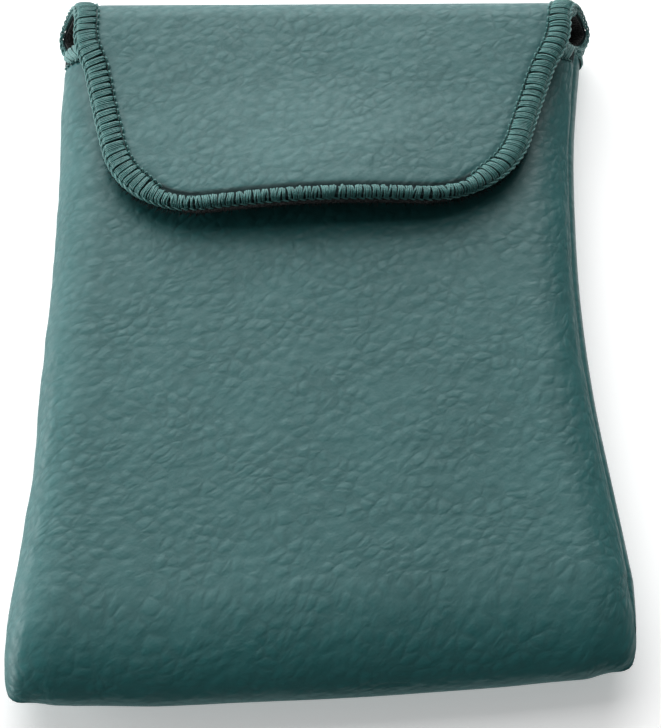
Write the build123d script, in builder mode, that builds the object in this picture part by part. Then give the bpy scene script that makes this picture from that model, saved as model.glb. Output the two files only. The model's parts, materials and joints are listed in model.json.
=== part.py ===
"""A soft pebbled-leather card holder: a flat pocket with a flap that rolls over its mouth.

One strip of leather runs from the mouth's front edge down the front, round the bottom fold, up the
back, over the top fold and on to the tip of the flap. The pocket is sewn inside out along both sides
and turned, so its seam allowances lie inside. Every free edge is bound with overlock thread. A black
lining backs the leather, and two thin disc magnets between the layers hold the flap shut.

Frame: the pocket lies on its back. +X is to the right, +Y runs from the bottom fold to the top fold,
+Z is up through the front. The origin is the middle of the footprint, on the surface it lies on.
The top fold bends on three lines, so the strip is parted there into a neck, two fold strips and a flap.
"""

import os
from math import cos, radians, sin

from build123d import *

# Driving dimensions, in millimetres
LENGTH = 105.0  # bottom fold to the outside of the top fold
BOTTOM_HALF = 37.9  # half the width at the bottom, before its corners are rounded
WAIST_HALF = 34.6  # half the width where the pocket draws in
TOP_HALF = 36.6  # half the width where the side curve ends, a little past the mouth
BODY_THICK = 9.6  # front face to back face
MOUTH_Y = 44.0  # the mouth's edge
FLAP_TIP_Y = 13.8  # the flap's lower edge
LEATHER = 1.1
LINING = 0.4
THREAD = 0.35  # overlock thread on each face of an edge
LAYER_GAP = 0.1  # between leather and lining
BAND = 3.0  # width of the overlocked band
SEAM = 3.0  # seam allowance turned inside
FLAP_CLEARANCE = 0.3  # under the flap's edge, above the bound mouth

# The bottom corners, the seam slot and the flap's outline
CORNER_R = 5.8
EDGE_R = 4.7
SEAM_GAP = 0.1
SEAM_START = 9.0  # the seams begin this far above the bottom fold
SEAM_ROOT = 0.2  # how far the allowances grow into the wall they turn in from
LINING_CLEAR = 2.0  # the lining stops this far short of the bound allowances
SHARPEST_CORNER_R = 1.0
FLAP_ROOT_HALF = 33.8
FLAP_CORNER_HALF = 25.2
FLAP_CORNER_R = 14.0
FOLD_HALVES = {"neck": 35.8, "fold_1": 35.2, "fold_2": 34.6, "flap": 34.0}

# The magnets lie in shallow pockets cut in the leather's flesh side
MAGNET_R = 6.0
MAGNET_THICK = 0.7
MAGNET_Y = 22.0
MAGNET_CHAMFER = 0.1
POCKET_ROOM = 0.1

# The top fold: radii from its centre line, and the three lines it bends on
THREAD_R = (BODY_THICK + 3 * THREAD + FLAP_CLEARANCE + LEATHER + LAYER_GAP + LINING) / 2
LEATHER_R = THREAD_R - THREAD
LINING_R = LEATHER_R - LEATHER - LAYER_GAP
INNER_R = LINING_R - LINING
FOLD_Y = LENGTH / 2 - THREAD_R
FOLD_Z = THREAD_R
BEND_ANGLES = (38.0, 90.0, 142.0)
PARTING = 0.4  # degrees left open between strips at a bend line
FOLD_SPANS = {
    "neck": (0.0, BEND_ANGLES[0] - PARTING / 2),
    "fold_1": (BEND_ANGLES[0] + PARTING / 2, BEND_ANGLES[1] - PARTING / 2),
    "fold_2": (BEND_ANGLES[1] + PARTING / 2, BEND_ANGLES[2] - PARTING / 2),
    "flap": (BEND_ANGLES[2] + PARTING / 2, 180.0),
}

PAST_MOUTH = MOUTH_Y + 6  # shapes that cut or are cut run on past the mouth
PAST_SIDE = 1.0  # and past the pocket's sides
BOTTOM_Y = -LENGTH / 2
MIDDLE_Z = BODY_THICK / 2
FLAP_TOP = 2 * THREAD_R - THREAD
FLAP_FLESH = FLAP_TOP - LEATHER
FLAP_LINING_TOP = FLAP_FLESH - LAYER_GAP
FLAP_UNDER = FLAP_LINING_TOP - LINING
LINED = LEATHER + LAYER_GAP + LINING  # leather and lining together


def pocket_outline(inset, top_y):
    """The pocket in plan up to top_y, drawn in at the waist and pulled in all round by inset."""
    bottom, waist, top = BOTTOM_HALF - inset, WAIST_HALF - inset, TOP_HALF - inset
    with BuildSketch() as outline:
        with BuildLine():
            right = ThreePointArc((bottom, BOTTOM_Y + inset), (waist, 0), (top, PAST_MOUTH))
            left = ThreePointArc((-top, PAST_MOUTH), (-waist, 0), (-bottom, BOTTOM_Y + inset))
            Line(right @ 1, left @ 0)
            Line(left @ 1, right @ 0)
        make_face()
        corners = outline.vertices().group_by(Axis.Y)[0]
        fillet(corners, radius=max(CORNER_R - inset, SHARPEST_CORNER_R))
        split(bisect_by=Plane.XZ.offset(-top_y), keep=Keep.TOP)
    return outline.sketch


def pillow(inset, top_y):
    """The pocket's rounded body, pulled in by inset on every face but its flat end at top_y."""
    with BuildPart() as body:
        with BuildSketch(Plane.XY.offset(inset)):
            add(pocket_outline(inset, top_y))
        extrude(amount=BODY_THICK - 2 * inset)
        rims = body.edges().filter_by(Plane.XY)
        end = body.faces().sort_by(Axis.Y)[-1].edges()
        fillet([edge for edge in rims if edge not in end], radius=EDGE_R - inset)
    return body.part


def wall(outer, inner, top_y=MOUTH_Y):
    """The open-mouthed layer of the pocket between two insets."""
    with BuildPart() as layer:
        add(pillow(outer, top_y))
        add(pillow(inner, PAST_MOUTH), mode=Mode.SUBTRACT)
    return layer.part


def side_band(near, far, half_height, top_y):
    """A bar along both sides of the pocket, between two insets, centred on the seam's height."""
    with BuildPart() as band:
        with BuildSketch(Plane.XY.offset(MIDDLE_Z - half_height)):
            add(pocket_outline(near, top_y))
            add(pocket_outline(far, PAST_MOUTH), mode=Mode.SUBTRACT)
        extrude(amount=2 * half_height)
        split(bisect_by=Plane.XZ.offset(-(BOTTOM_Y + SEAM_START)), keep=Keep.BOTTOM)
    return band.part


def across(y_low, y_high, z_low, z_high):
    """A plain block right across the pocket, used to keep a stretch of another shape."""
    block = Box(4 * BOTTOM_HALF, y_high - y_low, z_high - z_low, mode=Mode.PRIVATE)
    return block.moved(Location((0, (y_low + y_high) / 2, (z_low + z_high) / 2)))


def fold_point(radius, angle):
    """A point of the top fold in the YZ plane. Angle 0 is straight down, 90 points to +Y."""
    return (FOLD_Y + radius * sin(radians(angle)), FOLD_Z - radius * cos(radians(angle)))


def fold_sector(inner, outer, span, x_low, x_high):
    """A stretch of the top fold between two radii and two angles, from x_low to x_high."""
    start, stop = span
    with BuildPart() as sector:
        with BuildSketch(Plane.YZ.offset(x_low)):
            with BuildLine():
                outside = CenterArc((FOLD_Y, FOLD_Z), outer, start - 90, stop - start)
                inside = CenterArc((FOLD_Y, FOLD_Z), inner, start - 90, stop - start)
                Line(outside @ 0, inside @ 0)
                Line(outside @ 1, inside @ 1)
            make_face()
        extrude(amount=x_high - x_low)
    return sector.part


def fold_binding(name):
    """The overlocked thread round both side edges of one stretch of the top fold."""
    half, span = FOLD_HALVES[name], FOLD_SPANS[name]
    with BuildPart() as binding:
        add(fold_sector(INNER_R - THREAD, THREAD_R, span, half - BAND, half))
        cut = fold_sector(INNER_R, LEATHER_R, span, 0, half - THREAD)
        add(cut, mode=Mode.SUBTRACT)
        mirror(about=Plane.YZ)
    return binding.part


def flap_outline(inset):
    """The flap in plan, from the top fold to its rounded tip."""
    with BuildSketch() as outline:
        with BuildLine():
            Polyline(
                (inset - FLAP_ROOT_HALF, FOLD_Y),
                (FLAP_ROOT_HALF - inset, FOLD_Y),
                (FLAP_CORNER_HALF - inset, FLAP_TIP_Y + inset),
                (inset - FLAP_CORNER_HALF, FLAP_TIP_Y + inset),
                close=True,
            )
        make_face()
        fillet(outline.vertices().group_by(Axis.Y)[0], radius=FLAP_CORNER_R - inset)
    return outline.sketch


def magnet_recess(z_flesh):
    """The room that a magnet takes up, cut into the leather upwards from its flesh side."""
    depth = MAGNET_THICK + POCKET_ROOM
    room = Cylinder(MAGNET_R + POCKET_ROOM, 2 * depth, mode=Mode.PRIVATE)
    return room.moved(Location((0, MAGNET_Y, z_flesh)))


def magnet(z_low):
    """A thin disc magnet with broken edges."""
    with BuildPart() as disc:
        with BuildSketch(Plane.XY.offset(z_low)):
            with Locations((0, MAGNET_Y)):
                Circle(MAGNET_R)
        extrude(amount=MAGNET_THICK)
        chamfer(disc.edges(), length=MAGNET_CHAMFER)
    return disc.part


# Outer leather: front, bottom fold and back in one piece, with its seam allowances and the neck
with BuildPart() as outer_leather:
    add(wall(0, LEATHER))
    add(side_band(LEATHER - SEAM_ROOT, LEATHER + SEAM, LEATHER + SEAM_GAP / 2, MOUTH_Y))
    slot = side_band(-PAST_SIDE, LEATHER + SEAM + PAST_SIDE, SEAM_GAP / 2, PAST_MOUTH)
    add(slot, mode=Mode.SUBTRACT)
    front_flesh = BODY_THICK - LEATHER
    add(magnet_recess(front_flesh), mode=Mode.SUBTRACT)
    with BuildSketch(Plane.YZ.offset(-(FOLD_HALVES["neck"] - THREAD))):
        with BuildLine():
            neck_span = FOLD_SPANS["neck"]
            outside = CenterArc((FOLD_Y, FOLD_Z), LEATHER_R, -90, neck_span[1])
            inside = CenterArc((FOLD_Y, FOLD_Z), LEATHER_R - LEATHER, -90, neck_span[1])
            Polyline(outside @ 0, (MOUTH_Y, 0), (MOUTH_Y, LEATHER), inside @ 0)
            Line(outside @ 1, inside @ 1)
        make_face()
    extrude(amount=2 * (FOLD_HALVES["neck"] - THREAD))

# Pocket lining: backs the leather inside, and ends at the bound seam allowances
binding_half = LEATHER + SEAM_GAP / 2 + THREAD + LAYER_GAP
with BuildPart() as pocket_lining:
    add(wall(LEATHER + LAYER_GAP, LINED))
    seam_room = side_band(0, LEATHER + SEAM + THREAD + LINING_CLEAR, binding_half, PAST_MOUTH)
    add(seam_room, mode=Mode.SUBTRACT)
    with BuildSketch(Plane.YZ.offset(-(FOLD_HALVES["neck"] - THREAD))):
        with BuildLine():
            outside = CenterArc((FOLD_Y, FOLD_Z), LINING_R, -90, neck_span[1])
            inside = CenterArc((FOLD_Y, FOLD_Z), INNER_R, -90, neck_span[1])
            low = LEATHER + LAYER_GAP
            Polyline(outside @ 0, (MOUTH_Y, low), (MOUTH_Y, low + LINING), inside @ 0)
            Line(outside @ 1, inside @ 1)
        make_face()
    extrude(amount=2 * (FOLD_HALVES["neck"] - THREAD))

# Side seams: thread bound round the pair of allowances, one run on each side
with BuildPart() as seam_binding:
    reach = LEATHER + SEAM
    add(side_band(LINED + SEAM_GAP + THREAD, reach + THREAD, LEATHER + SEAM_GAP / 2 + THREAD, MOUTH_Y))
    add(side_band(0, reach, LEATHER + SEAM_GAP / 2, PAST_MOUTH), mode=Mode.SUBTRACT)
seam_sides = seam_binding.part.solids().sort_by(Axis.X)

# Mouth binding: thread round the front panel's edge, from side seam to side seam
with BuildPart() as mouth_overlock:
    add(wall(-THREAD, LINED + THREAD, PAST_MOUTH))
    keep = across(MOUTH_Y - BAND, MOUTH_Y + THREAD, MIDDLE_Z + binding_half, BODY_THICK + THREAD)
    add(keep, mode=Mode.INTERSECT)
    add(wall(0, LINED), mode=Mode.SUBTRACT)

front_magnet = magnet(front_flesh)
neck_overlock = fold_binding("neck")

# Fold strips: the stretches of leather, lining and bound edges between the bend lines
fold_parts = {}
for name in ("fold_1", "fold_2"):
    half, span = FOLD_HALVES[name] - THREAD, FOLD_SPANS[name]
    fold_parts[f"{name}_leather"] = fold_sector(LEATHER_R - LEATHER, LEATHER_R, span, -half, half)
    fold_parts[f"{name}_lining"] = fold_sector(INNER_R, LINING_R, span, -half, half)
    fold_parts[f"{name}_overlock"] = fold_binding(name)

# Flap: leather, lining and bound edge
flap_half = FOLD_HALVES["flap"] - THREAD
with BuildPart() as flap_leather:
    with BuildSketch(Plane.XY.offset(FLAP_FLESH)):
        add(flap_outline(THREAD))
    extrude(amount=LEATHER)
    add(magnet_recess(FLAP_FLESH), mode=Mode.SUBTRACT)
    add(fold_sector(LEATHER_R - LEATHER, LEATHER_R, FOLD_SPANS["flap"], -flap_half, flap_half))

with BuildPart() as flap_lining:
    with BuildSketch(Plane.XY.offset(FLAP_UNDER)):
        add(flap_outline(THREAD))
    extrude(amount=LINING)
    add(fold_sector(INNER_R, LINING_R, FOLD_SPANS["flap"], -flap_half, flap_half))

with BuildPart() as flap_overlock:
    with BuildSketch(Plane.XY.offset(FLAP_UNDER - THREAD)):
        add(flap_outline(0))
        add(flap_outline(BAND), mode=Mode.SUBTRACT)
        with Locations((0, FOLD_Y)):
            Rectangle(2 * (FLAP_ROOT_HALF - BAND), 2 * BAND, mode=Mode.SUBTRACT)
    extrude(amount=FLAP_TOP - FLAP_UNDER + 2 * THREAD)
    with BuildSketch(Plane.XY.offset(FLAP_UNDER)):
        add(flap_outline(THREAD))
    extrude(amount=FLAP_TOP - FLAP_UNDER, mode=Mode.SUBTRACT)
    add(fold_binding("flap"))

flap_magnet = magnet(FLAP_FLESH)

pieces = {
    "outer_leather": outer_leather.part,
    "pocket_lining": pocket_lining.part,
    "left_seam_overlock": seam_sides[0],
    "right_seam_overlock": seam_sides[-1],
    "mouth_overlock": mouth_overlock.part,
    "neck_overlock": neck_overlock,
    "front_magnet": front_magnet,
    **fold_parts,
    "flap_leather": flap_leather.part,
    "flap_lining": flap_lining.part,
    "flap_overlock": flap_overlock.part,
    "flap_magnet": flap_magnet,
}
os.makedirs("parts", exist_ok=True)
for name, piece in pieces.items():
    piece.label = name
    export_step(piece, f"parts/{name}.step")

for angle in BEND_ANGLES:
    y, z = fold_point(THREAD_R, angle)
    print(f"bend line at {angle:.0f} degrees: y {y:.3f}, z {z:.3f}")
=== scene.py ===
"""Looks of the soft leather card holder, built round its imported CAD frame.

The holder is one strip of pebbled leather. Each leather, lining and thread piece here is shaped
from flat hide coordinates: x across the strip and s along it, both in millimetres. The pouch shell
runs from the mouth's front edge down the front, round the bottom fold and up the back. The strap
carries on from there over the top fold to the flap's tip.
"""

import json

import bmesh
import bpy
import numpy as np
from mathutils import Matrix, Vector, noise


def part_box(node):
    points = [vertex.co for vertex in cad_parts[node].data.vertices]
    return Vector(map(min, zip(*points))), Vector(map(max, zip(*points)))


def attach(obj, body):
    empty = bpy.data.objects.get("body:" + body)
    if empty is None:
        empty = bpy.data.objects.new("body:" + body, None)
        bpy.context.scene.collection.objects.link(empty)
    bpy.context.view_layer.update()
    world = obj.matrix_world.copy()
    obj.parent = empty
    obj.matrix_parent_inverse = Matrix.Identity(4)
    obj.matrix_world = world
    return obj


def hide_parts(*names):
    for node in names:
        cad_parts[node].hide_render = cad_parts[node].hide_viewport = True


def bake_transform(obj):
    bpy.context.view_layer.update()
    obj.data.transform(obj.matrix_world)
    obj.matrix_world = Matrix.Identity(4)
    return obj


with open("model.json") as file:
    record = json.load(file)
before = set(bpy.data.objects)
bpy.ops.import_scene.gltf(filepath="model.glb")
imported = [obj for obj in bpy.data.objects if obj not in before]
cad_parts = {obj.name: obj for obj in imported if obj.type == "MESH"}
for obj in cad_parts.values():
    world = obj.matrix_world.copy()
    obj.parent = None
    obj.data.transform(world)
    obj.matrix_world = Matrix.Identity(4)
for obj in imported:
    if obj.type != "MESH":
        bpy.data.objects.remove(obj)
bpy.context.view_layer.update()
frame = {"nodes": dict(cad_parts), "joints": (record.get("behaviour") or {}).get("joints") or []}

# ---------------------------------------------------------------- sizes, in millimetres
MM = 0.001


def reach(node):
    """The lowest and highest corner of a CAD node, in millimetres."""
    low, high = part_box(node)
    return low / MM, high / MM


bends = {joint["name"]: Vector(joint["pos_m"]) / MM for joint in frame["joints"]}
BOTTOM_Y = reach("outer_leather")[0].y
FRONT_Z = reach("outer_leather")[1].z
MOUTH_Y = reach("left_seam_overlock")[1].y
TIP_Y = reach("flap_overlock")[0].y
THREAD_R = bends["top_bend"].z
FOLD_Z = THREAD_R
FOLD_Y = bends["top_bend"].y - THREAD_R

LEATHER = 1.1
LINING = 0.4
THREAD = 0.35  # how far the binding stands proud of an edge
FOLD_R = THREAD_R - THREAD  # outer face of the leather in the top fold
NECK_END, FLAP_START = 64.0, 116.0  # degrees round the top fold where its pieces meet

# The pouch: half widths of its outline along y, and the radii of its rounded sides and bottom
OUTLINE_Y = (-60.0, -48.0, -41.0, -27.0, -12.0, 3.0, 20.0, 44.0, 60.0)
OUTLINE_HALF = (38.8, 38.2, 37.4, 35.9, 34.8, 34.3, 34.3, 35.7, 37.0)
SIDE_R = 6.6
BOTTOM_R = 13.0
BACK_H = FRONT_Z / 2
CROWN = 0.5
FRONT_H = FRONT_Z - BACK_H - CROWN
SEAM_TURN = {-1: -4.0, 1: 26.0}  # degrees that each side seam sits above the widest line
LIP_R = 0.9  # rounding of the turned edges along a side seam
LIP_END = 0.7  # where the turned edges end, as a share of the way round the bottom fold
LIP_TURN = 8.5  # degrees of the side's roundness that one turned edge takes up
ALLOWANCE = 2.2
MOUTH_RISE = {-1: 1.9, 1: 1.3}  # the front edge is higher at the seams than in the middle
SKEW = 0.050  # the bottom and the flap's tip are cut slightly out of square
HEM_X = (-38.0, -36.0, -33.0, -28.0, -19.0, -9.0, 0.0, 20.0, 30.0, 33.0, 36.0, 38.0)
HEM = (-0.4, 0.0, 0.8, 0.7, 0.15, 0.1, 0.0, 0.35, 0.8, 0.85, 0.1, -0.4)  # the bottom fold's rise there
BOW_Y = (-52.5, -41.0, -27.0, -12.0, 3.0, 20.0, 30.0, 44.0, 52.5)
BOW = (0.0, 0.0, -0.1, -0.6, -0.8, -0.5, -0.35, 0.3, 0.7)  # how far the middle is off centre there

# The flap
ROLL_HALF = 33.4
NECK_TURNS = (-20.0, 0.0, 45.0, 90.0, 125.0, 180.0, 200.0)  # degrees round the top fold
NECK_HALF = (37.8, 37.2, 35.7, 34.5, 33.4, 33.4)  # half the strap's width at all but the first
TIP_SLOPE = 0.262  # how much the flap narrows per millimetre
CORNER_R = 14.0
TIP_LIFT = 1.9
EDGE_DROOP = 1.0

# The binding
BAND = 2.3
PITCH = 1.09
FILAMENTS = 4
FILAMENT_R = 0.125
TIP_SHORTER = 0.36  # the share that the bars are shorter along the flap's tip

GRID = 0.62  # spacing of the leather's mesh
rng = np.random.default_rng(11)


def smooth(value, start, end):
    """Rises smoothly from 0 at start to 1 at end."""
    t = np.clip((value - start) / (end - start), 0, 1)
    return t * t * (3 - 2 * t)


def quarter_ellipse(a, b):
    """Length of a quarter of an ellipse."""
    return np.pi / 4 * (3 * (a + b) - np.sqrt((3 * a + b) * (a + 3 * b)))


SIDE_LENGTH = quarter_ellipse(SIDE_R, BACK_H)
BOTTOM_LENGTH = quarter_ellipse(BOTTOM_R, BACK_H)
CORE_END = BOTTOM_Y + BOTTOM_R
FRONT_LENGTH = MOUTH_Y - CORE_END
SHELL_LENGTH = 2 * (FRONT_LENGTH + BOTTOM_LENGTH)


def through(spots, values, at):
    """Reads a smooth curve that goes through the given values at the given spots."""
    spots, values = np.array(spots), np.array(values)
    at = np.clip(at, spots[0], spots[-1])
    slopes = np.gradient(values, spots)
    k = np.clip(np.searchsorted(spots, at) - 1, 0, len(spots) - 2)
    span = spots[k + 1] - spots[k]
    t = (at - spots[k]) / span
    return (
        (2 * t**3 - 3 * t**2 + 1) * values[k]
        + (t**3 - 2 * t**2 + t) * span * slopes[k]
        + (3 * t**2 - 2 * t**3) * values[k + 1]
        + (t**3 - t**2) * span * slopes[k + 1]
    )


def outline_half(y):
    """Half the pouch's width at y."""
    return through(OUTLINE_Y, OUTLINE_HALF, y)


def core_half(y):
    """Half the width of the pouch's flat middle, inside its rounded sides."""
    return outline_half(y) - SIDE_R


def skewed(points):
    """Draws the points out of square by SKEW, fading out towards the top fold, and bows them."""
    rise = through(HEM_X, HEM, points[..., 0]) * (1 - smooth(points[..., 1], CORE_END, CORE_END + 22))
    points[..., 1] += SKEW * points[..., 0] * (1 - smooth(points[..., 1], 8, 44)) + rise
    points[..., 0] += through(BOW_Y, BOW, points[..., 1])
    return points


def soft_bumps(x, s, size, seed):
    """Smooth noise between about -1 and 1, the same each run."""
    flat = np.stack([np.ravel(x) / size, np.ravel(s) / size], -1)
    values = [noise.noise(Vector((a, b, seed))) for a, b in flat]
    return np.reshape(values, np.shape(x))


# ---------------------------------------------------------------- the pouch's shell
def lip_share(b):
    """How much of the side seams' turned edges is left, part of the way round the bottom fold."""
    return 1 - smooth(b, 0.15, LIP_END)


def shell(x, s):
    """Outer face of the pouch at flat coordinates x and s."""
    x, s = np.broadcast_arrays(np.asarray(x, float), np.asarray(s, float))
    side = np.where(x < 0, -1.0, 1.0)
    front = s <= FRONT_LENGTH + BOTTOM_LENGTH
    run = np.where(front, s, SHELL_LENGTH - s)  # distance from the mouth on this face
    b = np.clip((run - FRONT_LENGTH) / BOTTOM_LENGTH, 0, 1)
    y_core = MOUTH_Y - np.minimum(run, FRONT_LENGTH)
    half = core_half(y_core)
    x_core = np.minimum(abs(x), half)
    a = (abs(x) - x_core) / SIDE_LENGTH
    # a square patch of roundness in each bottom corner is drawn onto part of a round shell
    inside = np.clip(a, 0, 1)
    across, down = a * np.sqrt(1 - b**2 / 2), b * np.sqrt(1 - inside**2 / 2)
    tilt = np.hypot(across, down)
    angle = np.arctan2(down, across)
    turn = np.where(side < 0, SEAM_TURN[-1], SEAM_TURN[1])
    turn = np.where(front, -turn, turn) * (1 - b**2) - LIP_TURN * lip_share(b)
    fall = np.radians(tilt * (90 + turn * inside))
    p = 4.2  # squareness of the bottom corners
    push = (abs(np.cos(angle)) ** p + abs(np.sin(angle)) ** p) ** (-1 / p)
    push = 1 + (push - 1) * inside
    out = np.sin(fall) * push
    height = np.where(front, FRONT_H, BACK_H)
    middle = np.clip(x_core / half, 0, 1)
    crown = CROWN * np.cos(middle * np.pi / 2) ** 2 * (1 - smooth(b, 0, 1))
    z = BACK_H + np.where(front, 1, -1) * height * np.cos(fall) + np.where(front, crown, 0)
    mouth_rise = np.where(side < 0, MOUTH_RISE[-1], MOUTH_RISE[1]) * smooth(a, -0.6, 1.1)
    y = y_core - BOTTOM_R * out * np.sin(angle) + mouth_rise * (1 - smooth(run, 0, 14)) * front
    return skewed(np.stack([side * (x_core + SIDE_R * out * np.cos(angle)), y, z], -1))


# ---------------------------------------------------------------- the strap: neck, top fold, flap
CUT_S = MOUTH_Y - FOLD_Y  # where the strap leaves the pouch's back
ROLL_S = np.pi * FOLD_R  # where the top fold ends and the flap lies flat
TIP_S = ROLL_S + FOLD_Y - TIP_Y - THREAD
CUT_HALF = float(core_half(MOUTH_Y)) + SIDE_LENGTH
CORE_SHARE = float(core_half(MOUTH_Y)) / CUT_HALF


def fold_s(angle):
    """Distance along the strap to an angle round the top fold."""
    return np.radians(angle) * FOLD_R


def strap_half(s):
    """Half the strap's width before the flap's corners are rounded."""
    s = np.asarray(s, float)
    neck = through(NECK_TURNS, (CUT_HALF, *NECK_HALF), np.degrees(s / FOLD_R))
    return neck - TIP_SLOPE * np.maximum(s - ROLL_S, 0) * smooth(s, ROLL_S, ROLL_S + 9)


def strap(x, s):
    """Outer face of the strap at flat coordinates x and s."""
    x, s = np.broadcast_arrays(np.asarray(x, float), np.asarray(s, float))
    side = np.where(x < 0, -1.0, 1.0)
    angle = np.clip(s / FOLD_R, 0, np.pi)
    before, after = np.minimum(s, 0), np.maximum(s - ROLL_S, 0)
    base_y = FOLD_Y + before + FOLD_R * np.sin(angle) - after
    base_z = FOLD_Z - FOLD_R * np.cos(angle) - THREAD * (1 - smooth(s, CUT_S, 0))
    normal_y, normal_z = np.sin(angle), -np.cos(angle)
    # the neck's sides still curl up like the pouch's back, and flatten out over the fold
    curl = 1 - smooth(s, CUT_S, fold_s(70))
    half = np.minimum(CORE_SHARE * strap_half(s), abs(x))
    a = (abs(x) - half) / SIDE_LENGTH
    turn = np.where(side < 0, SEAM_TURN[-1], SEAM_TURN[1]) - LIP_TURN
    fall = np.radians(a * (90 + turn * np.clip(a, 0, 1)))
    rolled = half + SIDE_R * np.sin(fall)
    inward = curl * BACK_H * (1 - np.cos(fall))
    # the flap lifts in the middle of its tip and droops at its sides
    t = smooth(s, ROLL_S - 4, ROLL_S + 16)
    droop = EDGE_DROOP * t * (abs(x) / ROLL_HALF) ** 3
    lift = TIP_LIFT * smooth(s, TIP_S - 24, TIP_S) * np.exp(-((x / 17) ** 2))
    rise = lift - droop
    points = np.stack(
        [
            side * (curl * rolled + (1 - curl) * abs(x)),
            base_y - inward * normal_y,
            base_z - inward * normal_z + rise,
        ],
        -1,
    )
    return skewed(points)


def raised(surface, x, s, height):
    """Points at a height over a surface, along its outward normal."""
    step = 0.05
    x, s, height = np.broadcast_arrays(*(np.asarray(v, float) for v in (x, s, height)))
    along_x = surface(x + step, s) - surface(x - step, s)
    along_s = surface(x, s + step) - surface(x, s - step)
    normal = np.cross(along_s, along_x)
    normal /= np.maximum(np.linalg.norm(normal, axis=-1, keepdims=True), 1e-9)
    return surface(x, s) + normal * height[..., None]


# ---------------------------------------------------------------- the flap's edge
EDGE_STEP = 0.3
CORNER_POINTS = 60
SIDE_SLANT = np.arctan(TIP_SLOPE)
CORNER_S = TIP_S - CORNER_R + CORNER_R * np.sin(SIDE_SLANT)  # where the flap's corners start


def strap_edge():
    """The strap's cut edge in flat coordinates, from the left side seam round to the right one."""
    # the corner's arc touches the sloping side and the straight tip
    centre_s = TIP_S - CORNER_R
    centre_x = float(strap_half(centre_s)) - CORNER_R / np.cos(SIDE_SLANT)
    left = [(-float(strap_half(v)), v) for v in np.arange(CUT_S, CORNER_S, EDGE_STEP)]
    turns = np.linspace(SIDE_SLANT, np.pi / 2, CORNER_POINTS)
    left += [(-(centre_x + CORNER_R * np.cos(v)), centre_s + CORNER_R * np.sin(v)) for v in turns]
    left = np.array(left)
    corner_x = left[-1, 0]
    tip = np.array([(v, TIP_S) for v in np.arange(corner_x + EDGE_STEP, -corner_x, EDGE_STEP)])
    return np.concatenate([left, tip, left[::-1] * (-1, 1)])


EDGE = strap_edge()
CORNER = EDGE[EDGE[:, 1] > CORNER_S - 1e-6][:CORNER_POINTS]  # the left corner's arc, down to the tip


class Path:
    """A line of flat points that can be read by its length."""

    def __init__(self, points):
        self.points = np.asarray(points, float)
        steps = np.linalg.norm(np.diff(self.points, axis=0), axis=1)
        self.lengths = np.concatenate([[0], np.cumsum(steps)])
        self.length = self.lengths[-1]

    def at(self, length):
        """The point there, and the direction to the right of travel; the line's ends run on straight."""
        def read(v):
            return np.stack([np.interp(v, self.lengths, self.points[:, k]) for k in (0, 1)], -1)

        length = np.asarray(length, float)
        near = np.clip(length, 0.4, self.length - 0.4)
        ahead = read(near + 0.4) - read(near - 0.4)
        ahead /= np.linalg.norm(ahead, axis=-1, keepdims=True)
        spot = read(near) + (length - near)[..., None] * ahead
        return spot, np.stack([ahead[..., 1], -ahead[..., 0]], -1)


def distance_to(points, x, s):
    """Distance from flat points to the nearest point of a line."""
    flat = np.stack([np.ravel(x), np.ravel(s)], -1)
    far = [np.min(np.hypot(*(points - p).T)) for p in flat]
    return np.reshape(far, np.shape(x))


# ---------------------------------------------------------------- making pieces
def link(name, mesh):
    obj = bpy.data.objects.new(name, mesh)
    bpy.context.scene.collection.objects.link(obj)
    return obj


def applied(obj):
    """Replaces the object's mesh by the result of its modifiers."""
    depsgraph = bpy.context.evaluated_depsgraph_get()
    mesh = bpy.data.meshes.new_from_object(obj.evaluated_get(depsgraph))
    obj.modifiers.clear()
    obj.data = mesh
    return obj


def skin(name, points, flat, painted_binding_shade, thickness, material, full=1.0):
    """A sheet of leather or lining from a grid of points, with its thickness inwards.

    Full gives the share of the thickness at each point.
    """
    rows, columns = points.shape[:2]
    bm = bmesh.new()
    bmesh.ops.create_grid(bm, x_segments=columns - 1, y_segments=rows - 1, size=1)
    bm.verts.ensure_lookup_table()
    hide = bm.loops.layers.uv.new("hide")
    # each point's share of the painted shade under the binding, read by the leather's colour
    edge = bm.verts.layers.float.new("painted_binding_shade")
    share = bm.verts.layers.deform.verify()
    fullness = np.ravel(np.broadcast_to(full, painted_binding_shade.shape))
    for vert, place, near, amount in zip(bm.verts, points.reshape(-1, 3), np.ravel(painted_binding_shade), fullness):
        vert.co = Vector(place) * MM
        vert[edge] = near
        vert[share][0] = amount
    places = flat.reshape(-1, 2) * MM
    for face in bm.faces:
        face.smooth = True
        for loop in face.loops:
            loop[hide].uv = places[loop.vert.index]
    bmesh.ops.remove_doubles(bm, verts=bm.verts, dist=1e-7)
    bmesh.ops.recalc_face_normals(bm, faces=bm.faces)
    mesh = bpy.data.meshes.new(name)
    bm.to_mesh(mesh)
    bm.free()
    obj = link(name, mesh)
    wall = obj.modifiers.new("wall", "SOLIDIFY")
    wall.thickness = thickness * MM
    wall.offset = -1
    wall.vertex_group = obj.vertex_groups.new(name="full").name
    applied(obj)
    obj.vertex_groups.clear()
    bm = bmesh.new()
    bm.from_mesh(obj.data)
    for rim in bm.edges:
        rim.smooth = not (rim.is_manifold and rim.calc_face_angle() > 1.0)
    bm.to_mesh(obj.data)
    bm.free()
    obj.data.materials.clear()
    obj.data.materials.append(material)
    return obj


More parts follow.
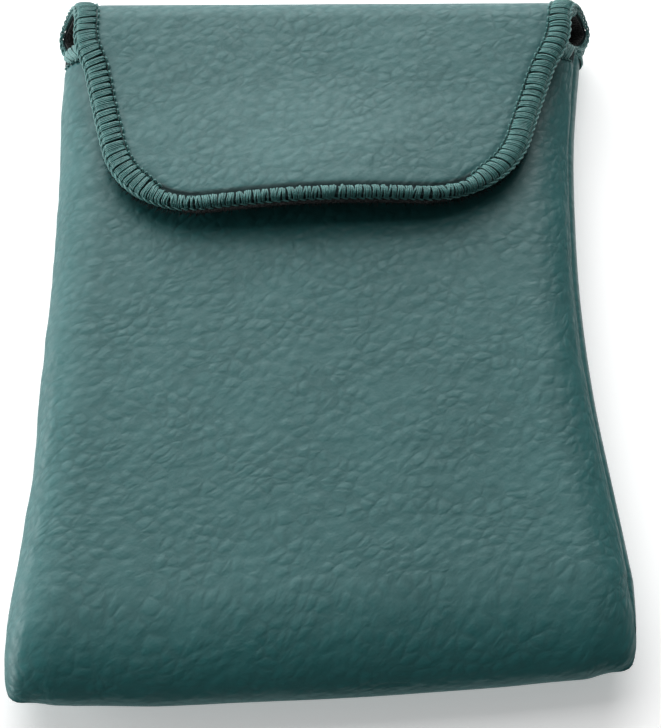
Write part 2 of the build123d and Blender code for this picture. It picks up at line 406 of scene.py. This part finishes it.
def threads(name, lines, radius, material):
    """Thread laid along lines of points, as a closed round mesh."""
    curve = bpy.data.curves.new(name, "CURVE")
    curve.dimensions = "3D"
    curve.bevel_depth = radius * MM
    curve.bevel_resolution = 1
    curve.use_fill_caps = True
    for line in lines:
        spline = curve.splines.new("POLY")
        spline.points.add(len(line) - 1)
        places = np.concatenate([np.asarray(line) * MM, np.ones((len(line), 1))], 1)
        spline.points.foreach_set("co", places.ravel())
    maker = link(name + "_line", curve)
    mesh = bpy.data.meshes.new_from_object(maker)
    bpy.data.objects.remove(maker)
    mesh.shade_smooth()
    mesh.materials.clear()
    mesh.materials.append(material)
    return link(name, mesh)


# ---------------------------------------------------------------- materials
def node(tree, kind, **inputs):
    """A shader node with its input values or links set by name."""
    made = tree.nodes.new(kind)
    for key, value in inputs.items():
        socket = made.inputs[key.replace("_", " ")]
        if isinstance(value, bpy.types.NodeSocket):
            tree.links.new(value, socket)
        else:
            socket.default_value = value
    return made


def ramp(tree, value, low, high, start=0.0, end=1.0):
    """A smooth step of a value from low to high, onto start to end."""
    made = node(tree, "ShaderNodeMapRange", Value=value)
    made.interpolation_type = "SMOOTHSTEP"
    made.inputs["From Min"].default_value = low
    made.inputs["From Max"].default_value = high
    made.inputs["To Min"].default_value = start
    made.inputs["To Max"].default_value = end
    return made.outputs["Result"]


def maths(tree, operation, first, second=0.0):
    made = tree.nodes.new("ShaderNodeMath")
    made.operation = operation
    for socket, value in zip(made.inputs, (first, second)):
        if isinstance(value, bpy.types.NodeSocket):
            tree.links.new(value, socket)
        else:
            socket.default_value = value
    return made.outputs[0]


def mixed(tree, share, first, second):
    """A colour between two colours."""
    made = tree.nodes.new("ShaderNodeMix")
    made.data_type = "RGBA"
    for socket, value in zip((made.inputs[0], made.inputs[6], made.inputs[7]), (share, first, second)):
        if isinstance(value, bpy.types.NodeSocket):
            tree.links.new(value, socket)
        else:
            socket.default_value = value
    return made.outputs[2]


def group(name, inputs, outputs):
    """An empty node group with its sockets, and its input and output nodes."""
    tree = bpy.data.node_groups.new(name, "ShaderNodeTree")
    for label, kind in inputs:
        tree.interface.new_socket(name=label, in_out="INPUT", socket_type=kind)
    for label, kind in outputs:
        tree.interface.new_socket(name=label, in_out="OUTPUT", socket_type=kind)
    return tree, tree.nodes.new("NodeGroupInput"), tree.nodes.new("NodeGroupOutput")


def mottle_group():
    """Slow and fine unevenness of a surface, both between 0 and 1."""
    tree, given, result = group(
        "mottle",
        [("Vector", "NodeSocketVector"), ("Slow", "NodeSocketFloat"), ("Fine", "NodeSocketFloat")],
        [("Slow", "NodeSocketFloat"), ("Fine", "NodeSocketFloat")],
    )
    for label, detail in (("Slow", 2.0), ("Fine", 4.0)):
        spots = node(tree, "ShaderNodeTexNoise", Vector=given.outputs["Vector"], Detail=detail)
        tree.links.new(given.outputs[label], spots.inputs["Scale"])
        tree.links.new(ramp(tree, spots.outputs["Fac"], 0.3, 0.7), result.inputs[label])
    return tree


def pebble_group():
    """Pebbled grain: creases between rounded cells, and the height of the surface."""
    tree, given, result = group(
        "pebbled_grain",
        [("Vector", "NodeSocketVector"), ("Cells", "NodeSocketFloat")],
        [("Crease", "NodeSocketFloat"), ("Height", "NodeSocketFloat")],
    )
    # the cells lie slantwise across the hide, and are longer than they are wide
    turned = tree.nodes.new("ShaderNodeMapping")
    turned.vector_type = "TEXTURE"
    tree.links.new(given.outputs["Vector"], turned.inputs["Vector"])
    turned.inputs["Rotation"].default_value = (0, 0, -0.6)
    turned.inputs["Scale"].default_value = (1.15, 0.9, 1)
    place = turned.outputs["Vector"]
    warped = place
    for scale, amount in ((70.0, 0.0035), (420.0, 0.0011)):
        drift = node(tree, "ShaderNodeTexNoise", Vector=place, Scale=scale, Detail=2.0)
        shift = tree.nodes.new("ShaderNodeVectorMath")
        shift.operation = "MULTIPLY_ADD"
        tree.links.new(drift.outputs["Color"], shift.inputs[0])
        shift.inputs[1].default_value = (amount, amount, 0.0)
        tree.links.new(warped, shift.inputs[2])
        warped = shift.outputs[0]
    patches = node(tree, "ShaderNodeTexNoise", Vector=place, Scale=160.0, Detail=2.0)
    strength = ramp(tree, patches.outputs["Fac"], 0.35, 0.62, 0.25, 1.0)
    cells = {}
    for feature in ("DISTANCE_TO_EDGE", "SMOOTH_F1"):
        cell = tree.nodes.new("ShaderNodeTexVoronoi")
        cell.feature = feature
        tree.links.new(warped, cell.inputs["Vector"])
        tree.links.new(given.outputs["Cells"], cell.inputs["Scale"])
        cells[feature] = cell
    cells["SMOOTH_F1"].inputs["Smoothness"].default_value = 0.7
    dome = ramp(tree, cells["SMOOTH_F1"].outputs["Distance"], 0.1, 0.75, 1.0, 0.0)
    line = ramp(tree, cells["DISTANCE_TO_EDGE"].outputs["Distance"], 0.0, 0.25, 1.0, 0.0)
    crease = maths(tree, "MULTIPLY", line, strength)
    lumps = node(tree, "ShaderNodeTexNoise", Vector=warped, Scale=760.0, Detail=2.0)
    pores = node(tree, "ShaderNodeTexNoise", Vector=place, Scale=2600.0, Detail=2.0)
    speck = maths(tree, "MULTIPLY", pores.outputs["Fac"], 0.16)
    lump = maths(tree, "MULTIPLY", lumps.outputs["Fac"], 0.8)
    mass = maths(tree, "ADD", maths(tree, "MULTIPLY", dome, 0.55), lump)
    cut = maths(tree, "MULTIPLY", crease, 0.18)
    height = maths(tree, "SUBTRACT", maths(tree, "ADD", mass, speck), cut)
    tree.links.new(crease, result.inputs["Crease"])
    tree.links.new(height, result.inputs["Height"])
    return tree


MOTTLE = mottle_group()
PEBBLE = pebble_group()


def placed(tree, node_group, vector, **values):
    """A node group in a material, reading the given coordinates."""
    made = tree.nodes.new("ShaderNodeGroup")
    made.node_tree = node_group
    tree.links.new(vector, made.inputs["Vector"])
    for key, value in values.items():
        made.inputs[key].default_value = value
    return made


def new_material(name):
    material = bpy.data.materials.new(name)
    material.use_nodes = True
    tree = material.node_tree
    tree.nodes.clear()
    shader = tree.nodes.new("ShaderNodeBsdfPrincipled")
    output = tree.nodes.new("ShaderNodeOutputMaterial")
    tree.links.new(shader.outputs[0], output.inputs["Surface"])
    return material, tree, shader


def bumped(tree, shader, height, distance, strength):
    bump = node(tree, "ShaderNodeBump", Height=height, Distance=distance, Strength=strength)
    tree.links.new(bump.outputs["Normal"], shader.inputs["Normal"])


def pebbled_leather():
    """Teal leather with a soft pebbled grain, with painted shade in its creases and under the binding."""
    material, tree, shader = new_material("pebbled_leather")
    hide = tree.nodes.new("ShaderNodeUVMap")
    hide.uv_map = "hide"
    place = hide.outputs["UV"]
    grain = placed(tree, PEBBLE, place, Cells=650.0)
    uneven = placed(tree, MOTTLE, place, Slow=45.0, Fine=900.0)
    painted_binding_shade = tree.nodes.new("ShaderNodeAttribute")
    painted_binding_shade.attribute_name = "painted_binding_shade"
    slow, fine = uneven.outputs["Slow"], uneven.outputs["Fine"]
    base = mixed(tree, slow, (0.015, 0.106, 0.107, 1), (0.017, 0.116, 0.117, 1))
    base = mixed(tree, maths(tree, "MULTIPLY", fine, 0.25), base, (0.012, 0.085, 0.086, 1))
    # painted shade in the grain's creases: the colour is darkened along the crease lines
    crease = maths(tree, "MULTIPLY", grain.outputs["Crease"], 0.24)
    base = mixed(tree, crease, base, (0.007, 0.045, 0.047, 1))
    # painted shade under the binding: the leather is darkened where the gaps between the bars and the
    # needle's groove lie in shadow
    base = mixed(tree, painted_binding_shade.outputs["Fac"], base, (0.001, 0.014, 0.015, 1))
    tree.links.new(base, shader.inputs["Base Color"])
    rough = maths(tree, "ADD", ramp(tree, fine, 0, 1, 0.40, 0.50), maths(tree, "MULTIPLY", crease, 0.3))
    rough = maths(tree, "MAXIMUM", rough, maths(tree, "MULTIPLY", painted_binding_shade.outputs["Fac"], 0.95))
    tree.links.new(rough, shader.inputs["Roughness"])
    shader.inputs["Specular IOR Level"].default_value = 0.38
    bumped(tree, shader, grain.outputs["Height"], 0.00022, 0.41)
    return material


def overlock_thread():
    """Matching spun polyester thread, with fine fibres along it and a soft shine."""
    material, tree, shader = new_material("overlock_thread")
    place = tree.nodes.new("ShaderNodeTexCoord").outputs["Object"]
    uneven = placed(tree, MOTTLE, place, Slow=900.0, Fine=7000.0)
    slow, fine = uneven.outputs["Slow"], uneven.outputs["Fine"]
    base = mixed(tree, slow, (0.040, 0.175, 0.168, 1), (0.075, 0.250, 0.235, 1))
    base = mixed(tree, maths(tree, "MULTIPLY", fine, 0.45), base, (0.016, 0.085, 0.085, 1))
    tree.links.new(base, shader.inputs["Base Color"])
    tree.links.new(ramp(tree, fine, 0, 1, 0.36, 0.52), shader.inputs["Roughness"])
    shader.inputs["Sheen Weight"].default_value = 0.25
    shader.inputs["Sheen Roughness"].default_value = 0.4
    bumped(tree, shader, fine, 0.00003, 0.6)
    return material


def napped_lining():
    """Black lining with a short nap."""
    material, tree, shader = new_material("napped_lining")
    place = tree.nodes.new("ShaderNodeTexCoord").outputs["Object"]
    uneven = placed(tree, MOTTLE, place, Slow=700.0, Fine=3600.0)
    slow, fine = uneven.outputs["Slow"], uneven.outputs["Fine"]
    base = mixed(tree, fine, (0.0015, 0.0024, 0.0025, 1), (0.008, 0.011, 0.0115, 1))
    base = mixed(tree, maths(tree, "MULTIPLY", slow, 0.5), base, (0.003, 0.004, 0.0042, 1))
    tree.links.new(base, shader.inputs["Base Color"])
    tree.links.new(ramp(tree, fine, 0, 1, 0.85, 0.98), shader.inputs["Roughness"])
    shader.inputs["Specular IOR Level"].default_value = 0.25
    shader.inputs["Sheen Weight"].default_value = 0.12
    shader.inputs["Sheen Roughness"].default_value = 0.6
    bumped(tree, shader, fine, 0.00025, 0.9)
    return material


def nickel_plate():
    """Nickel plating of the closure magnets, lightly scuffed."""
    material, tree, shader = new_material("nickel_plate")
    place = tree.nodes.new("ShaderNodeTexCoord").outputs["Object"]
    uneven = placed(tree, MOTTLE, place, Slow=250.0, Fine=4000.0)
    slow, fine = uneven.outputs["Slow"], uneven.outputs["Fine"]
    base = mixed(tree, slow, (0.36, 0.355, 0.34, 1), (0.44, 0.435, 0.42, 1))
    tree.links.new(base, shader.inputs["Base Color"])
    tree.links.new(ramp(tree, fine, 0, 1, 0.34, 0.48), shader.inputs["Roughness"])
    shader.inputs["Metallic"].default_value = 1.0
    bumped(tree, shader, fine, 0.00001, 0.3)
    return material


leather = pebbled_leather()
thread = overlock_thread()
lining = napped_lining()
nickel = nickel_plate()

# ---------------------------------------------------------------- leather
columns = np.linspace(-1, 1, 2 * round(CUT_HALF / GRID) + 1)


def spaced(start, end, step):
    return np.linspace(start, end, max(2, round((end - start) / step) + 1))


def joined(*runs):
    """Rows of s from runs that meet end to end, without the shared values twice."""
    return np.concatenate([runs[0]] + [run[1:] for run in runs[1:]])


def band_shade(distance, band=BAND):
    """How much painted shade a point gets under the binding: 1 at the edge, 0 inside the band."""
    past = 0.1 + 0.5 * (BAND - band)  # along the flap's tip the painted shade reaches on into the needle's groove
    return 1 - smooth(distance, band + past, band + past + 0.35)


def needle_dent(distance, along, band=BAND):
    """The dent that the needle stitches pull along the band's inner edge."""
    ripple = 0.75 + 0.25 * np.cos(2 * np.pi * along / PITCH)
    return -0.28 * ripple * np.exp(-(((distance - band - 0.25) / 0.45) ** 2))


LIP_ROWS = 5
LIP_FLAT = np.array([0.24, 0.48, 0.72, 0.96, 1.2, 2.1, 3.4])  # how far the hide goes on past each side


def turned_edge(side, brim, held, held_half, fade):
    """Rows of points of one side's edge, from the brim round the lip and on into the seam."""
    edge = side * held_half
    end, before = shell(edge, held), shell(edge - side * 0.1, held)
    end_up, end_down = shell(edge, held + 0.05), shell(edge, held - 0.05)
    onward = (end - before) / np.linalg.norm(end - before, axis=1, keepdims=True)
    outward = side * np.cross(end_up - end_down, onward)
    outward /= np.maximum(np.linalg.norm(outward, axis=1, keepdims=True), 1e-9)
    lip = []
    for turn in np.radians(np.linspace(0, 90 - LIP_TURN, LIP_ROWS + 1)[1:]):
        lip.append(brim + LIP_R * fade * (np.sin(turn) * onward - (1 - np.cos(turn)) * outward))
    last = np.radians(90 - LIP_TURN)
    inward = np.cos(last) * onward - np.sin(last) * outward
    return lip + [lip[-1] + depth * ALLOWANCE * fade * inward for depth in (0.4, 1.0)]


def pouch_leather():
    """Front, bottom fold and back, with the turned edges of the side seams."""
    roll_start, roll_end = FRONT_LENGTH, FRONT_LENGTH + 2 * BOTTOM_LENGTH
    rows = joined(
        spaced(0, roll_start, GRID), spaced(roll_start, roll_end, 0.5), spaced(roll_end, SHELL_LENGTH, 1.0)
    )
    front = rows <= FRONT_LENGTH + BOTTOM_LENGTH
    run = np.where(front, rows, SHELL_LENGTH - rows)
    half = core_half(MOUTH_Y - np.minimum(run, FRONT_LENGTH)) + SIDE_LENGTH
    x = half[:, None] * columns
    s = np.broadcast_to(rows[:, None], x.shape)
    on_front = 1 - smooth(rows, FRONT_LENGTH + 4, FRONT_LENGTH + 2 * BOTTOM_LENGTH - 4)[:, None]
    waves = 0.16 * soft_bumps(x, s * 0.6, 9.0, 1.7) + 0.07 * soft_bumps(x, s, 3.6, 5.2)
    near_sides = smooth(abs(columns), 0.72, 0.95)
    waves = waves * (0.55 + 1.2 * near_sides) * on_front
    waves = waves + needle_dent(s, x) * (s < 9)
    body = raised(shell, x, s, waves)
    # painted shade under the binding along the mouth's edge
    painted_binding_shade = band_shade(s)
    # the edges turn in along the side seams and fade out at the bottom fold
    b = np.clip((run - FRONT_LENGTH) / BOTTOM_LENGTH, 0, 1)
    fade = lip_share(b)[:, None]
    closed = b >= LIP_END
    steady = FRONT_LENGTH + 0.6 * BOTTOM_LENGTH  # the seam's directions are clear down to here
    held = np.where(front, np.minimum(rows, steady), np.maximum(rows, SHELL_LENGTH - steady))
    held_half = core_half(MOUTH_Y - np.minimum(np.minimum(run, steady), FRONT_LENGTH)) + SIDE_LENGTH
    sides = []
    for side in (-1, 1):
        # the brims of front and back are one line where the seam has ended
        brim = body[:, 0 if side < 0 else -1]
        brim[closed] = (brim[closed] + brim[closed][::-1]) / 2
        sides.append(turned_edge(side, brim, held, held_half, fade))
    left, right = sides
    points = np.stack(left[::-1] + list(body.transpose(1, 0, 2)) + right, 1)
    points[..., 2] = np.maximum(points[..., 2], 0.0)
    flat_x = np.concatenate([x[:, :1] - LIP_FLAT[::-1], x, x[:, -1:] + LIP_FLAT], 1)
    flat = np.stack([flat_x, np.broadcast_to(rows[:, None], flat_x.shape)], -1)
    more = len(LIP_FLAT)
    painted_binding_shade = np.pad(painted_binding_shade, [(0, 0), (more, more)], mode="edge")
    # the wall thins out where the seam ends in the bottom corners
    near_seam = np.pad(smooth(abs(columns), 0.85, 0.95), more, mode="edge")
    seam_end = smooth(b, 0.05, 0.5)[:, None] * near_seam
    return skin("pouch_leather", points, flat, painted_binding_shade, LEATHER, leather, full=1 - 0.97 * seam_end)


def strap_grid(rows, inset=0.0):
    """Flat coordinates of a stretch of the strap, with the flap's rounded corners."""
    rounded = np.interp(rows, CORNER[:, 1], -CORNER[:, 0])
    half = np.where(rows > CORNER[0, 1], rounded, strap_half(rows)) - inset
    x = half[:, None] * columns
    return x, np.broadcast_to(rows[:, None], x.shape)


def flap_rows(start):
    """Rows down the flap, close together where its corners turn in."""
    return joined(spaced(start, CORNER[0, 1], GRID), CORNER[::2, 1])


def strap_leather(name, rows):
    x, s = strap_grid(rows)
    distance = distance_to(EDGE, x, s)
    band = BAND * (1 - TIP_SHORTER * smooth(s, TIP_S - 5, TIP_S - 2))
    waves = 0.10 * soft_bumps(x, s, 9.0, 3.1) + 0.05 * soft_bumps(x, s, 4.0, 7.7)
    waves = waves * smooth(distance, 1.0, 8.0) * smooth(s, fold_s(90), ROLL_S + 4)
    waves = waves + needle_dent(distance, s + x, band)
    points = raised(strap, x, s, waves)
    flat = np.stack([x, s + SHELL_LENGTH - CUT_S], -1)
    # band_shade gives the painted shade under the binding
    return skin(name, points, flat, band_shade(distance, band), LEATHER, leather)


NECK_ROWS = joined(spaced(CUT_S, 0, 0.5), spaced(0, fold_s(NECK_END), 0.25))
FOLD_ROWS = spaced(fold_s(NECK_END), fold_s(FLAP_START), 0.22)
FLAP_ROWS = joined(spaced(fold_s(FLAP_START), ROLL_S, 0.25), flap_rows(ROLL_S))

pouch = pouch_leather()
neck = strap_leather("neck_leather", NECK_ROWS)
fold = strap_leather("fold_leather", FOLD_ROWS)
flap = strap_leather("flap_leather_sheet", FLAP_ROWS)

# ---------------------------------------------------------------- lining
GAP = LEATHER + 0.08
LINING_HANG = 0.6  # how far the lining hangs out under the flap's tip


def pouch_lining():
    rows = spaced(0.4, SHELL_LENGTH, 1.6)
    run = np.where(rows <= SHELL_LENGTH / 2, rows, SHELL_LENGTH - rows)
    half = core_half(MOUTH_Y - np.minimum(run, FRONT_LENGTH)) + SIDE_LENGTH
    deep = smooth(run, FRONT_LENGTH, FRONT_LENGTH + BOTTOM_LENGTH)
    x = ((0.985 - 0.12 * deep) * half)[:, None] * columns[::2]
    s = np.broadcast_to(rows[:, None], x.shape)
    points = raised(shell, x, s, -GAP - 0.05 * abs(soft_bumps(x, s, 1.3, 2.2)))
    flat = np.stack([x, s], -1)
    return skin("pouch_lining", points, flat, np.zeros_like(x), LINING - 0.05, lining)


def over_magnet(points):
    """Draws lining points down over the flap's magnet, because the flap lifts off it."""
    low, high = reach("flap_magnet")
    middle, radius = (low + high) / 2, (high.x - low.x) / 2
    around = np.hypot(points[..., 0] - middle.x, points[..., 1] - middle.y)
    cover = 1 - smooth(around, radius + 0.2, radius + 2.2)
    points[..., 2] += cover * (low.z - 0.08 - points[..., 2])
    return points


def strap_lining(name, rows):
    """Lining of one stretch of the strap; its raw edge curls out under the flap's tip."""
    x, s = strap_grid(rows, 0.25)
    tip = smooth(s, TIP_S - 8, TIP_S - 1)
    near = 1 - smooth(distance_to(EDGE, x, s), 0.3, 1.1)
    s = np.where(s > TIP_S - 1, TIP_S - 1 + (s - TIP_S + 1) * (1 + LINING_HANG), s)
    points = over_magnet(raised(strap, x, s, -GAP + 0.45 * tip * near))
    flat = np.stack([x, s], -1)
    return skin(name, points, flat, np.zeros_like(x), LINING - 0.05, lining)


pouch_inside = pouch_lining()
neck_inside = strap_lining("neck_lining", NECK_ROWS)
fold_inside = strap_lining("fold_lining", FOLD_ROWS)
flap_inside = strap_lining("flap_lining_sheet", FLAP_ROWS)

# ---------------------------------------------------------------- overlock binding
# a bar of thread from the needle line over the edge and back: distance in from the edge, height
BAR = np.array(
    [
        (2.35, 0.00), (2.2, 0.14), (1.8, 0.25), (1.2, 0.31), (0.6, 0.29), (0.12, 0.18), (-0.12, -0.08),
        (-0.2, -0.45), (-0.2, -0.95), (-0.14, -1.35), (0.12, -1.62), (0.6, -1.70),
    ]
)
BAR_OUTSIDE = BAR[:9]  # the bars of the neck and the fold stop at the lining
CHAIN_IN, CHAIN_H = -0.43, -0.30  # where the middle of the chain lies, in the same way


def on_tip(along, tip):
    """1 on the flap's tip, 0 away from it."""
    return smooth(along, tip[0], tip[0] + 6) * (1 - smooth(along, tip[1] - 6, tip[1]))


def bar_lines(surface, path, bar, starts, slant, shortness):
    """The bars' filaments at each stitch, slanting over the edge, shorter on the flap's tip."""
    lines = []
    for start, lean, short in zip(starts, slant, shortness):
        # on the tip the bars are shorter both ways, and start down in the needle's groove
        reach_in = bar[:, :1] * np.where(bar[:, :1] > 0, 1 - TIP_SHORTER * short, 1 - 0.9 * short)
        reach_down = bar[:, 1] * np.where(bar[:, 1] < 0, 1 - 0.45 * short, 1)
        reach_down = reach_down - np.where(bar[:, 0] > 2, 0.25 * short, 0)
        jitter = rng.normal(0, 0.035, 3)
        for k in range(FILAMENTS):
            lean_here = lean + 0.22 * short * rng.normal()
            offset = (k - (FILAMENTS - 1) / 2) * (0.235 + 0.01 * rng.normal())
            share = np.clip((bar[0, 0] - bar[:, 0]) / bar[0, 0], 0, 1.1)
            squeeze = 1 - 0.25 * (1 - share) ** 4
            along = start + jitter[0] + offset * squeeze + lean_here * (share - 0.5)
            along = along + 0.10 * np.sin(np.pi * share)
            spots, inward = path.at(along)
            spots = spots + inward * (reach_in + 0.06 * rng.normal() * (bar[:, :1] > 1.7))
            rise = reach_down + 0.03 * rng.normal() + 0.04 * np.cos(np.pi * (k - 1.5) / 3)
            lines.append(raised(surface, spots[:, 0], spots[:, 1], rise))
    return lines


def needle_lines(surface, path, starts, shortness):
    """The needle's short stitches on the leather, just inside the bars; none show on the tip."""
    lines = []
    for start, short in zip(starts, shortness):
        if short > 0.6:
            continue
        t = np.linspace(0, 1, 6)
        along = start - 0.30 + 0.74 * t + 0.03 * rng.normal()
        spots, inward = path.at(along)
        depth = BAND * (1 - TIP_SHORTER * short) + 0.28 + 0.14 * np.sin(np.pi * t) + 0.03 * rng.normal()
        spots = spots + inward * depth[:, None]
        height = -0.22 + 0.42 * np.sin(np.pi * t)
        lines.append(raised(surface, spots[:, 0], spots[:, 1], height))
    return lines


def chain_lines(surface, path, start, end, tip):
    """Two loopers' threads twisted along the outside of the edge, and under it on the flap's tip."""
    along = np.linspace(start, end, round((end - start) / 0.18))
    short = on_tip(along, tip)
    lines = []
    for phase in (0, np.pi):
        turn = 2 * np.pi * along / (2 * PITCH) + phase
        spots, inward = path.at(along)
        spots = spots + inward * (CHAIN_IN * (1 - 0.75 * short) + 0.14 * np.cos(turn))[:, None]
        height = CHAIN_H - 0.5 * short + 0.13 * np.sin(turn)
        lines.append(raised(surface, spots[:, 0], spots[:, 1], height))
    return lines


def binding(name, surface, path, start, end, slants=((0.0, 0.18),), tip=(0.0, 0.0), bar=BAR):
    """One stretch of overlock binding along a path.

    Slants give the bars' lean at places on it. On the flap's tip the bars are short and restless.
    """
    count = round((end - start) / PITCH)
    starts = start + (np.arange(count) + 0.5) * (end - start) / count
    short = on_tip(starts, tip)
    lean = np.interp(starts, *zip(*slants)) + (0.05 + 0.15 * short) * rng.normal(size=len(starts))
    lines = bar_lines(surface, path, bar, starts, lean, short)
    lines += needle_lines(surface, path, starts, short)
    lines += chain_lines(surface, path, start, end, tip)
    return threads(name, lines, FILAMENT_R, thread)


edge_path = Path(EDGE)
left_lengths = np.linspace(0, edge_path.length / 2, 2000)
left_s = np.interp(left_lengths, edge_path.lengths, edge_path.points[:, 1])


def edge_length_at(s):
    """How far along the left edge the strap reaches s."""
    return float(np.interp(s, left_s, left_lengths))


def edge_binding(name, s_low, s_high):
    """Binding on both side edges of one stretch of the strap, joined into one piece."""
    low, high = edge_length_at(s_low), edge_length_at(s_high)
    left = binding(name, strap, edge_path, low, high, bar=BAR_OUTSIDE)
    low, high = edge_path.length - high, edge_path.length - low
    right = binding(name + "_right", strap, edge_path, low, high, bar=BAR_OUTSIDE)
    merged = bmesh.new()
    for part in (left, right):
        merged.from_mesh(part.data)
    merged.to_mesh(left.data)
    merged.free()
    bpy.data.objects.remove(right)
    return left


neck_thread = edge_binding("neck_binding", CUT_S, fold_s(NECK_END))
fold_thread = edge_binding("fold_binding", fold_s(NECK_END), fold_s(FLAP_START))
flap_low = edge_length_at(fold_s(FLAP_START))
tip_from = edge_length_at(TIP_S - 4)
tip_run = (tip_from, edge_path.length - tip_from)
flap_thread = binding("flap_binding", strap, edge_path, flap_low, edge_path.length - flap_low, tip=tip_run)


def lining_fuzz():
    """Loose black fibres along the raw edge of the lining, under the flap's tip and corners."""
    lines = []
    for along in np.arange(tip_from - 8, edge_path.length - tip_from + 8, 0.07):
        spot, inward = edge_path.at(along + rng.uniform(-0.1, 0.1))
        bend, out, down = rng.normal(0, 0.16), rng.uniform(0.2, 0.75), rng.uniform(-0.35, 0.25)
        t = np.linspace(0, 1, 4)
        flat = spot + np.outer(t**1.3 * -out, inward) + np.outer(t * bend, inward[::-1])
        height = -1.25 + 0.35 * rng.uniform(-1, 1) + down * t
        lines.append(raised(strap, flat[:, 0], flat[:, 1], height))
    return threads("lining_fuzz", lines, 0.035, lining)


fuzz = lining_fuzz()
mouth_half = float(core_half(MOUTH_Y)) + SIDE_LENGTH - 0.7
mouth_path = Path([(v, 0.0) for v in np.linspace(mouth_half, -mouth_half, 200)])
ends = ((0.0, -3.2), (7.5, 0.2), (mouth_path.length - 7.5, 0.2), (mouth_path.length, 3.2))
mouth_thread = binding("mouth_binding", shell, mouth_path, 0, mouth_path.length, slants=ends)


def seam_frame(side, along):
    """The middle of a side seam at a distance from the mouth, across it, and into the pouch."""
    edge = side * (float(core_half(MOUTH_Y - along)) + SIDE_LENGTH)
    front, back = shell(edge, along), shell(edge, SHELL_LENGTH - along)
    across = (front - back) / np.linalg.norm(front - back)
    return (front + back) / 2, across, np.array((-side * across[2], 0.0, side * across[0]))


# a bar of thread round a seam's allowances: distance into the pouch, and across the seam
SEAM_BAR = ((1.7, 1.28), (2.8, 1.34), (3.5, 0.9), (3.7, 0.0), (3.5, -0.9), (2.8, -1.34), (1.7, -1.28))


def seam_binding(side, name):
    """Bars of thread round the pair of allowances inside the pouch."""
    lines = []
    for along in np.arange(1.0, FRONT_LENGTH, PITCH):
        for k in range(3):
            spot, across, into = seam_frame(side, along + 0.26 * k)
            lines.append([spot + d * into + h * across for d, h in SEAM_BAR])
    return threads(name, lines, FILAMENT_R, thread)


left_seam = seam_binding(-1, "left_seam_binding")
right_seam = seam_binding(1, "right_seam_binding")


def bend_between(piece):
    """Bakes the piece's placement into its mesh; nothing bends it between bodies."""
    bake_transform(piece)


for piece in (neck, neck_inside, neck_thread):
    bend_between(piece)
for piece in (fold, fold_inside, fold_thread):
    bend_between(piece)
for piece in (flap, flap_inside, flap_thread, fuzz):
    bend_between(piece)
for piece in (pouch, pouch_inside, mouth_thread, left_seam, right_seam):
    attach(piece, "pouch")

stands_for = {
    pouch: ("leather", ["outer_leather"]),
    neck: ("leather", []),
    fold: ("leather", ["fold_1_leather", "fold_2_leather"]),
    flap: ("leather", ["flap_leather"]),
    pouch_inside: ("lining", ["pocket_lining"]),
    neck_inside: ("lining", []),
    fold_inside: ("lining", ["fold_1_lining", "fold_2_lining"]),
    flap_inside: ("lining", ["flap_lining"]),
    fuzz: ("lining", []),
    mouth_thread: ("thread", ["mouth_overlock"]),
    neck_thread: ("thread", ["neck_overlock"]),
    fold_thread: ("thread", ["fold_1_overlock", "fold_2_overlock"]),
    flap_thread: ("thread", ["flap_overlock"]),
    left_seam: ("thread", ["left_seam_overlock"]),
    right_seam: ("thread", ["right_seam_overlock"]),
}
for piece, (slot_name, nodes) in stands_for.items():
    if nodes:
        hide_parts(*nodes)
for name in ("front_magnet", "flap_magnet"):
    magnet = frame["nodes"][name]
    magnet.data.materials.clear()
    magnet.data.materials.append(nickel)

# ---------------------------------------------------------------- floor, lights and camera
def floor_plane():
    bm = bmesh.new()
    bmesh.ops.create_grid(bm, x_segments=1, y_segments=1, size=2.0)
    mesh = bpy.data.meshes.new("floor")
    bm.to_mesh(mesh)
    bm.free()
    material, tree, shader = new_material("white_table")
    shader.inputs["Base Color"].default_value = (0.94, 0.94, 0.94, 1)
    shader.inputs["Roughness"].default_value = 0.6
    shader.inputs["Emission Color"].default_value = (1, 1, 1, 1)
    shader.inputs["Emission Strength"].default_value = 0.33
    mesh.materials.append(material)
    floor = link("floor", mesh)


def softbox(name, place, size, power, target=(0, 0, 0)):
    """A rectangular area light that faces the target, places in metres."""
    light = bpy.data.lights.new(name, "AREA")
    light.shape = "RECTANGLE"
    light.size, light.size_y = size
    light.energy = power
    lamp = link(name, light)
    lamp.location = place
    lamp.rotation_euler = (Vector(target) - Vector(place)).to_track_quat("-Z", "Y").to_euler()


floor_plane()
softbox("back_softbox", (-0.14, 0.62, 0.36), (1.1, 0.6), 7.9)
softbox("top_softbox", (-0.05, 0.32, 0.62), (0.9, 0.5), 2.0)
softbox("left_softbox", (-0.7, 0.08, 0.11), (0.7, 0.2), 4.4)
softbox("right_softbox", (0.7, 0.25, 0.40), (0.5, 0.4), 0.15)
world = bpy.data.worlds.new("studio")
world.use_nodes = True
world.node_tree.nodes["Background"].inputs["Color"].default_value = (1, 1, 1, 1)
world.node_tree.nodes["Background"].inputs["Strength"].default_value = 0.10
bpy.context.scene.world = world
bpy.context.scene.view_settings.view_transform = "Standard"

CAMERA_ELEVATION, CAMERA_ROLL = np.radians(56), np.radians(0.3)
CAMERA_DISTANCE = 0.305
CAMERA_TARGET = Vector((0.0012, -0.0026, 0.0))
forward = Vector((0, np.cos(CAMERA_ELEVATION), -np.sin(CAMERA_ELEVATION)))
level, above = Vector((1, 0, 0)), Vector((1, 0, 0)).cross(forward)
right_hand = np.cos(CAMERA_ROLL) * level - np.sin(CAMERA_ROLL) * above
upward = np.sin(CAMERA_ROLL) * level + np.cos(CAMERA_ROLL) * above
lens = bpy.data.cameras.new("camera")
lens.lens = 116.5
lens.clip_start = 0.01
camera = link("camera", lens)
turned = Matrix((right_hand, upward, -forward)).transposed().to_4x4()
camera.matrix_world = Matrix.Translation(CAMERA_TARGET - forward * CAMERA_DISTANCE) @ turned
bpy.context.scene.camera = camera
